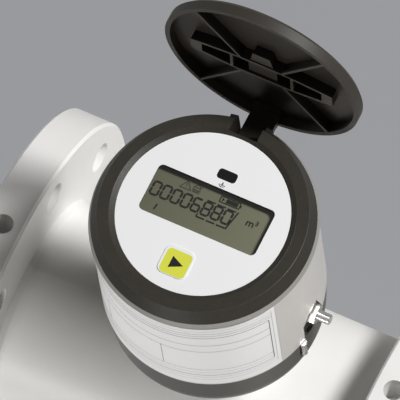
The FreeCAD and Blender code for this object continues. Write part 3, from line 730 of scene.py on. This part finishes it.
@dataclass
class Head:
    """Converter head: neck, bowl, shell, rings and what they hold inside."""

    finishes: Library
    centre_x: float = 13.7
    ring_top: float = 255.4
    edges: tuple[Edge, ...] = (Edge("ring_outer_edge", 57.05, 13.5), Edge("ring_inner_edge", 50.45, 17.0))
    edge_radius: float = 0.14
    edge_sink: float = 0.12
    hinge_angle: float = 90.0

    def build(self) -> None:
        """Dress the head and lay the ring's edges."""
        dress = self.finishes.dress
        dress("coat_white", "neck")
        dress("base_plastic", "pot_base")
        dress("seal_rubber", "base_gasket")
        dress("steel", "base_screws", "earth_stud", "earth_washer", "earth_nut", "hinge_pin")
        dress("shell_metal", "pot_shell")
        dress("plate_foil", "nameplate")
        dress("cell_sleeve", "battery_cells")
        dress("inner_plastic", "chassis", "terminal_block")
        dress("board_green", "main_board")
        dress("lip_plastic", "lip_ring")
        dress("ring_plastic", "bezel_ring")
        dress("well_olive", "front_plate")
        for edge in self.edges:
            piece_from(edge.name, lambda shape, edge=edge: self.lay(shape, edge),
                       self.finishes["edge_plastic"], "meter")

    def lay(self, shape: Shape, edge: Edge) -> None:
        """Lay an edge of the ring from one side of the notch round to the other.

        Args:
            shape: The mesh.
            edge: The edge.
        """
        start = self.hinge_angle + edge.notch
        end = self.hinge_angle + 360.0 - edge.notch
        bead(shape, (self.centre_x, 0.0, self.ring_top - self.edge_sink), edge.radius, self.edge_radius,
             (start, end))


@dataclass(frozen=True)
class Line:
    """Chain of straight bars on the label, in millimetres."""

    points: tuple[Point, ...]
    width: float


@dataclass(frozen=True)
class Arc:
    """Part of a circle on the label, in millimetres and degrees."""

    centre: Point
    radius: float
    span: Point
    width: float
    steps: int = 10

    @property
    def points(self) -> tuple[Point, ...]:
        """The ends of the bars that stand for the arc."""
        return tuple((self.centre[0] + self.radius * math.cos(a), self.centre[1] + self.radius * math.sin(a))
                     for a in map(math.radians, stations(self.span, self.steps)))


Mark = Line | Arc

DECIMAL_FRAME: tuple[Mark, ...] = (
    Line(((-2.4, 9.85), (2.6, 9.9)), 0.80),
    Line(((-4.2, -1.05), (0.8, -0.95)), 0.95),
    Line(((3.6, 9.85), (8.6, 9.9)), 0.80),
    Line(((1.8, -1.05), (6.8, -0.95)), 0.95),
    Line(((9.6, 9.85), (14.6, 9.9)), 0.80),
    Line(((7.8, -1.05), (12.8, -0.95)), 0.95),
    Line(((13.3, -1.4), (15.9, 10.3)), 0.90),
)
BATTERY_SIGN: tuple[Mark, ...] = (
    Line(((3.5, 11.9), (15.0, 11.9), (15.0, 15.4), (3.5, 15.4), (3.5, 11.9)), 0.62),
    Line(((15.6, 12.9), (15.6, 14.4)), 0.7),
    Line(((7.0, 13.65), (13.9, 13.65)), 2.5),
    Line(((5.0, 12.6), (5.0, 14.7)), 0.7),
    Line(((4.9, 13.65), (6.0, 13.65)), 0.6),
)
CHANNEL_FIGURE: tuple[Mark, ...] = (Line(((-26.6, -6.7), (-26.0, -3.1)), 0.95),)
UNIT_SIGN: tuple[Mark, ...] = (
    Line(((22.4, 5.2), (22.5, 7.8)), 0.75),
    Arc((23.35, 6.95), 0.85, (180, 0), 0.75),
    Line(((24.2, 5.2), (24.2, 6.95)), 0.75),
    Arc((25.15, 6.95), 0.85, (180, 0), 0.75),
    Line(((26.0, 5.2), (26.0, 6.95)), 0.75),
    Arc((27.7, 9.0), 0.62, (150, -90), 0.55, 7),
    Arc((27.7, 7.8), 0.62, (150, -90), 0.55, 7),
    Arc((27.7, 7.8), 0.62, (-90, -150), 0.55, 3),
)
WARNING_SIGN: tuple[Mark, ...] = (
    Line(((-19.6, 11.0), (-13.2, 11.1), (-16.5, 15.9), (-19.6, 11.0)), 0.58),
    Line(((-16.4, 12.7), (-16.45, 14.5)), 0.58),
    Line(((-16.4, 11.75), (-16.4, 12.15)), 0.58),
)
COUNTER_SIGN: tuple[Mark, ...] = (
    Line(((-12.2, 11.3), (-8.5, 11.3), (-8.5, 14.1), (-12.2, 14.1), (-12.2, 11.3)), 0.58),
    Line(((-12.2, 12.6), (-8.5, 12.6)), 0.58),
    Arc((-10.3, 14.3), 1.5, (180, 0), 0.58),
    Line(((-11.3, 11.3), (-11.3, 12.6)), 0.58),
    Line(((-10.3, 11.3), (-10.3, 12.6)), 0.58),
    Line(((-9.4, 11.3), (-9.4, 12.6)), 0.58),
    Line(((-8.5, 14.9), (-7.6, 15.6)), 0.58),
)
PORT_SIGN: tuple[Mark, ...] = (
    Arc((2.0, 20.0), 1.0, (-160, -20), 0.42),
    Arc((2.0, 20.0), 1.9, (-160, -20), 0.42),
    Line(((2.0, 20.9), (2.0, 19.2)), 0.7),
)


@dataclass
class Face:
    """The label's own axes: x to the display's right, y to its top, from the head's axis."""

    centre_x: float = 13.7
    label_z: float = 254.0
    glass_z: float = 249.0

    def at(self, x: float, y: float) -> Point:
        """A point of the label in metres of the frame."""
        return ((self.centre_x + x) * MM, y * MM)


@dataclass
class Sketch:
    """Pen that draws flat marks as thin plates at one level above the label's axes."""

    face: Face
    level: float
    thickness: float = 0.08

    def area(self, shape: Shape, corners: Sequence[Point]) -> None:
        """Fill an outline given in label millimetres."""
        slab(shape, [self.face.at(x, y) for x, y in corners],
             self.level * MM, (self.level + self.thickness) * MM)

    def bar(self, shape: Shape, start: Point, end: Point, width: float) -> None:
        """Draw one straight bar.

        Args:
            shape: The mesh.
            start: First end, in label millimetres.
            end: Second end.
            width: The bar's width.
        """
        run = Vector(end) - Vector(start)
        side = Vector((-run.y, run.x)).normalized() * (width / 2)
        corners = [Vector(start) - side, Vector(end) - side, Vector(end) + side, Vector(start) + side]
        self.area(shape, [(corner.x, corner.y) for corner in corners])

    def draw(self, shape: Shape, marks: Sequence[Mark]) -> None:
        """Draw marks, each as bars from point to point.

        Args:
            shape: The mesh.
            marks: The marks.
        """
        for mark in marks:
            for start, end in zip(mark.points, mark.points[1:]):
                self.bar(shape, start, end, mark.width)


@dataclass
class Display:
    """Label, pane, display glass, the key and all that is shown or printed on them."""

    finishes: Library
    face: Face = field(default_factory=Face)
    reading: str = "00006880"
    height: float = 7.7
    width: float = 4.3
    pitch: float = 6.0
    stroke: float = 1.25
    gap: float = 0.05
    lean: float = 0.03
    start: float = -32.9
    foot: float = 0.9
    rise: float = 0.012
    comma: Line = Line(((-3.75, 0.95), (-4.3, -0.85)), 0.75)
    key_centre: Point = (-1.0, -31.1)
    slit: tuple[Point, Point] = ((8.52, 4.0), (8.95, 4.2))
    film: Point = (253.96, 254.02)
    triangle: tuple[Point, ...] = ((-3.7, -35.4), (3.7, -31.9), (-3.7, -28.4))
    triangle_z: Point = (254.49, 254.55)

    def build(self) -> None:
        """Dress the display and draw what it shows."""
        for finish, node in (("label_foil", "label_plate"), ("pane_glass", "display_window"),
                             ("display_glass", "lcd_module"), ("eye_black", "ir_window"),
                             ("key_yellow", "key_pad")):
            self.finishes.dress(finish, node)
        screen = Sketch(self.face, self.face.glass_z + 0.02)
        label = Sketch(self.face, self.face.label_z + 0.01, 0.05)
        self.show("display_figures", lambda shape: self.figures(shape, screen), "segment_ink")
        self.show("display_frame", lambda shape: screen.draw(shape, DECIMAL_FRAME), "segment_ink")
        self.show("display_signs", lambda shape: screen.draw(
            shape, BATTERY_SIGN + CHANNEL_FIGURE + UNIT_SIGN), "segment_ink")
        self.show("display_faint_signs", lambda shape: screen.draw(
            shape, WARNING_SIGN + COUNTER_SIGN), "segment_faint")
        self.show("port_sign", lambda shape: label.draw(shape, PORT_SIGN), "print_grey")
        piece_from("key_film", self.key_film, self.finishes["label_foil"], "meter")
        piece_from("key_triangle", self.key_triangle, self.finishes["ink_black"], "key")

    def show(self, name: str, build: Callable[[Shape], None], finish: str) -> None:
        """Make a piece of print that stays with the meter."""
        piece_from(name, build, self.finishes[finish], "meter")

    def figures(self, shape: Shape, pen: Sketch) -> None:
        """Draw the reading and its comma.

        Args:
            shape: The mesh.
            pen: What draws them.
        """
        for i, character in enumerate(self.reading):
            for letter in FIGURES[character]:
                self._segment(shape, pen, self.start + i * self.pitch, Stroke(letter))
        pen.draw(shape, (self.comma,))

    def _segment(self, shape: Shape, pen: Sketch, left: float, stroke: Stroke) -> None:
        """Add one segment of a figure.

        Args:
            shape: The mesh.
            pen: What draws it.
            left: The figure's left edge.
            stroke: Which segment.
        """
        half, gap, w, h = self.stroke / 2, self.gap, self.width, self.height
        rows = {Stroke.TOP: h, Stroke.MIDDLE: h / 2, Stroke.BOTTOM: 0.0}
        if stroke in rows:
            y = rows[stroke]
            path = [(gap, y), (gap + half, y + half), (w - gap - half, y + half),
                    (w - gap, y), (w - gap - half, y - half), (gap + half, y - half)]
        else:
            x = 0.0 if stroke in (Stroke.LEFT_LOW, Stroke.LEFT_UP) else w
            base = 0.0 if stroke in (Stroke.LEFT_LOW, Stroke.RIGHT_LOW) else h / 2
            top = base + h / 2
            path = [(x, base + gap), (x + half, base + gap + half), (x + half, top - gap - half),
                    (x, top - gap), (x - half, top - gap - half), (x - half, base + gap + half)]
        foot = self.foot + self.rise * (left - self.start)
        pen.area(shape, [(left + x + self.lean * y, foot + y) for x, y in path])

    def key_film(self, shape: Shape) -> None:
        """Close the slit round the key with the label's film.

        Args:
            shape: The mesh.
        """
        loops = [[shape.verts.new((*self.face.at(x, y), z * MM)) for x, y in round_square(
            self.key_centre, half, corner)] for half, corner in self.slit for z in self.film]
        inner_low, inner_top, outer_low, outer_top = loops
        for one, two in ((inner_low, inner_top), (inner_top, outer_top), (outer_top, outer_low),
                         (outer_low, inner_low)):
            band(shape, one, two)

    def key_triangle(self, shape: Shape) -> None:
        """Draw the triangle on the key."""
        low, high = self.triangle_z
        slab(shape, [self.face.at(x, y) for x, y in self.triangle], low * MM, high * MM)


@dataclass(frozen=True)
class Rule:
    """Level line on the nameplate: height in millimetres, span in degrees about the head."""

    height: float
    span: Point
    width: float

    def patch(self, radius: float) -> tuple[Point, Point]:
        """First and last angle and lower and upper height; the radius plays no part."""
        return self.span, (self.height - self.width / 2, self.height + self.width / 2)


@dataclass(frozen=True)
class Upright:
    """Upright line on the nameplate: angle in degrees about the head, span in millimetres."""

    angle: float
    span: Point
    width: float

    def patch(self, radius: float) -> tuple[Point, Point]:
        """First and last angle and lower and upper height, on a cylinder of a radius."""
        half = math.degrees(self.width / 2 / radius)
        return (self.angle - half, self.angle + half), self.span


FRAME_SPAN: Point = (-149.0, -31.0)
HEADER_SPAN: Point = (-150.5, -29.5)
BORDER_SPAN: Point = (-150.9, -29.1)
PLATE_LINES: tuple[Rule | Upright, ...] = (
    Upright(-149.0, (175.5, 227.6), 0.45),
    Upright(-31.0, (175.5, 227.6), 0.45),
    Rule(227.6, FRAME_SPAN, 0.38),
    Rule(217.2, FRAME_SPAN, 0.30),
    Rule(208.4, FRAME_SPAN, 0.28),
    Rule(183.0, FRAME_SPAN, 0.20),
    Rule(175.5, FRAME_SPAN, 0.30),
    Upright(-89.0, (183.0, 208.4), 0.28),
    Upright(-126.0, (183.0, 208.4), 0.24),
    Rule(233.4, HEADER_SPAN, 0.24),
    Rule(230.6, HEADER_SPAN, 0.24),
)
PLATE_BORDER: tuple[Rule | Upright, ...] = (
    Upright(-150.9, (169.5, 237.0), 0.35),
    Upright(-29.1, (169.5, 237.0), 0.35),
    Rule(237.0, BORDER_SPAN, 0.28),
    Rule(169.5, BORDER_SPAN, 0.28),
    Rule(172.6, BORDER_SPAN, 0.28),
    Rule(179.2, BORDER_SPAN, 0.28),
)


@dataclass
class Plate:
    """Printed lines on the nameplate that is wrapped round the shell."""

    finishes: Library
    centre_x: float = 13.7
    foot_z: float = 161.5
    foot_radius: float = 60.6
    slope: float = 0.3 / 82.0
    stand: float = 0.38
    ink: float = 0.02
    step: float = 1.5

    def build(self) -> None:
        """Draw the dark lines and the pale border."""
        piece_from("plate_lines", lambda shape: self.draw(shape, PLATE_LINES), self.finishes["print_dark"],
                   "meter")
        piece_from("plate_border", lambda shape: self.draw(shape, PLATE_BORDER), self.finishes["print_pale"],
                   "meter")

    def draw(self, shape: Shape, lines: Sequence[Rule | Upright]) -> None:
        """Lay each line as a thin curved patch."""
        for line in lines:
            self.patch(shape, *line.patch(self.foot_radius))

    def at(self, angle: float, z: float, off: float) -> Vector:
        """A point off the plate's surface.

        Args:
            angle: Angle about the head's axis in degrees.
            z: Height in millimetres.
            off: Distance from the plate.

        Returns:
            The point in metres.
        """
        radius = self.foot_radius + self.stand + self.slope * (z - self.foot_z) + off
        a = math.radians(angle)
        return mm(self.centre_x + radius * math.cos(a), radius * math.sin(a), z)

    def patch(self, shape: Shape, angles: Point, levels: Point) -> None:
        """Lay a thin curved patch on the plate.

        Args:
            shape: The mesh.
            angles: First and last angle.
            levels: Lower and upper height.
        """
        low, high = levels
        section = ((low, 0.0), (high, 0.0), (high, self.ink), (low, self.ink))
        count = max(1, round((angles[1] - angles[0]) / self.step))
        loops = [[shape.verts.new(self.at(angle, z, off)) for z, off in section]
                 for angle in stations(angles, count)]
        for one, two in zip(loops, loops[1:]):
            band(shape, one, two)
        shape.faces.new(loops[0])
        shape.faces.new(list(reversed(loops[-1])))


@dataclass
class Lid:
    """The ribbed lid."""

    finishes: Library

    def build(self) -> None:
        """Dress the lid."""
        self.finishes.dress("lid_plastic", "lid")


@dataclass(frozen=True)
class Lamp:
    """Flat lamp: its position and size in metres and its power in watts."""

    name: str
    place: Place
    size: Point
    power: float

    def build(self, target: Vector) -> None:
        """Hang the lamp and aim it.

        Args:
            target: The point that it shines at, in metres.
        """
        data = bpy.data.lights.new(self.name, "AREA")
        data.energy = self.power
        data.shape = "RECTANGLE"
        data.size, data.size_y = self.size
        item = bpy.data.objects.new(self.name, data)
        item.location = self.place
        item.visible_camera = False
        item.rotation_euler = (target - Vector(self.place)).to_track_quat("-Z", "Y").to_euler()
        bpy.context.scene.collection.objects.link(item)
        LOG.info("hung %s", self.name)


@dataclass
class Studio:
    """Floor, lamps, world and camera."""

    azimuth: float = 34.95
    elevation: float = 66.96
    roll: float = -9.78
    distance: float = 9.0
    focal_px: float = 16865.0
    label_px: Point = (202.93, 213.96)
    frame_px: float = 400.0
    sensor: float = 36.0
    label: Place = (13.7, 0.0, 254.0)
    floor_z: float = -110.2
    floor_reach: float = 30.0
    floor_colour: Colour = (0.80, 0.78, 0.74)
    floor_even: float = 0.75
    backdrop: Colour = (0.328, 0.333, 0.348)
    ambient: Colour = (1.0, 0.90, 0.70)
    ambient_level: float = 0.03
    lamps: tuple[Lamp, ...] = (
        Lamp("key_lamp", (2.52, 1.30, 4.30), (0.90, 0.90), 258.0),
        Lamp("front_lamp", (-0.10, -4.0, 0.12), (0.9, 0.3), 80.0),
        Lamp("left_lamp", (-4.0, -0.20, 0.20), (1.0, 0.4), 26.0),
    )

    def build(self) -> None:
        """Set up everything that isn't part of the meter."""
        self.floor()
        self.world()
        for lamp in self.lamps:
            lamp.build(mm(*self.label))
        self.camera()
        view = bpy.context.scene.view_settings
        view.view_transform = "Standard"

    def floor_finish(self) -> bpy.types.Material:
        """Finish that lights the meter as a pale floor and shows the backdrop's colour.

        Part of what the camera sees is even, and the rest keeps the meter's shadow.

        Returns:
            The material.
        """
        graph = Graph.of_material("floor_finish")
        seen = graph.seen()
        lit = graph.node("ShaderNodeBsdfPrincipled", {}, {
            "Base Color": graph.mix(seen, self.floor_colour, self.backdrop),
            "Roughness": 0.9, "Specular IOR Level": 0.1})
        even = graph.node("ShaderNodeEmission", {}, {"Color": opaque(self.backdrop)})
        share = seen * self.floor_even
        return graph.end(graph.node("ShaderNodeMixShader", {}, {0: share, 1: lit, 2: even}))

    def floor(self) -> None:
        """Large floor just under the flanges."""
        mesh = bpy.data.meshes.new("floor")
        corners = ((-1, -1), (1, -1), (1, 1), (-1, 1))
        mesh.from_pydata([(x * self.floor_reach, y * self.floor_reach, self.floor_z * MM)
                          for x, y in corners], [], [(0, 1, 2, 3)])
        mesh.materials.append(self.floor_finish())
        item = bpy.data.objects.new("floor", mesh)
        bpy.context.scene.collection.objects.link(item)

    def world(self) -> None:
        """Warm dim surroundings that look like the backdrop to the camera and in gloss."""
        world = bpy.data.worlds.new("surroundings")
        graph = Graph(world)
        dim = graph.node("ShaderNodeBackground", {}, {
            "Color": opaque(self.ambient), "Strength": self.ambient_level})
        even = graph.node("ShaderNodeBackground", {}, {"Color": opaque(self.backdrop), "Strength": 1.0})
        surface = graph.node("ShaderNodeMixShader", {}, {0: graph.seen(), 1: dim, 2: even})
        graph.node("ShaderNodeOutputWorld", {}, {"Surface": surface})
        bpy.context.scene.world = world

    def camera(self) -> None:
        """Long lens from above, rolled as in the photograph."""
        a, e, r = (math.radians(v) for v in (self.azimuth, self.elevation, self.roll))
        back = Vector((math.sin(a) * math.cos(e), -math.cos(a) * math.cos(e), math.sin(e)))
        right = (-back).cross(Vector((0, 0, 1))).normalized()
        up = right.cross(-back)
        across = right * math.cos(r) + up * math.sin(r)
        rise = up * math.cos(r) - right * math.sin(r)
        scale = self.distance / self.focal_px
        middle = self.frame_px / 2
        aim = (mm(*self.label) + across * (middle - self.label_px[0]) * scale
               + rise * (self.label_px[1] - middle) * scale)
        data = bpy.data.cameras.new("camera")
        data.sensor_width = self.sensor
        data.lens = self.focal_px / self.frame_px * self.sensor
        data.clip_end = 100.0
        item = bpy.data.objects.new("camera", data)
        item.matrix_world = Matrix.Translation(aim + back * self.distance) @ Matrix(
            (across, rise, back)).transposed().to_4x4()
        bpy.context.scene.collection.objects.link(item)
        bpy.context.scene.camera = item


def main() -> None:
    """Build the meter's looks and the studio."""
    logging.basicConfig(level=logging.INFO, format="%(message)s")
    finishes = Library()
    for part in (Pipe(finishes), Head(finishes), Plate(finishes), Display(finishes), Lid(finishes)):
        part.build()
        LOG.info("finished %s", type(part).__name__)
    Studio().build()


if __name__ == "__main__":
    main()
